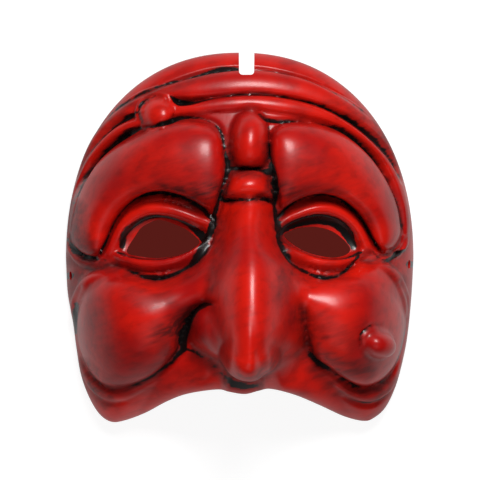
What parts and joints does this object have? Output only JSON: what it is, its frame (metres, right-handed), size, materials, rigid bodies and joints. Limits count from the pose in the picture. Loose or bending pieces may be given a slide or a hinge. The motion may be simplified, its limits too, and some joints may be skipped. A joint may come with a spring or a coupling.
{
  "type": "half mask",
  "caption": "Commedia-style red lacquered half mask with a hooked nose, heavy brows, full cheeks, warts, cut-out eyes and strap holes.",
  "frame": {"origin": "on the table, under the middle of the mask's outline, where the rims of its two sides rest", "axes": "+Z out of the face, +Y up the forehead, +X to the right of someone facing the mask"},
  "size_m": [0.1668, 0.1773, 0.1028],
  "materials": {
    "lacquer": "glossy deep red lacquer over papier-mache, with black patina rubbed into the creases"
  },
  "bodies": {
    "root": {"mask": "lacquer"}
  },
  "joints": []
}
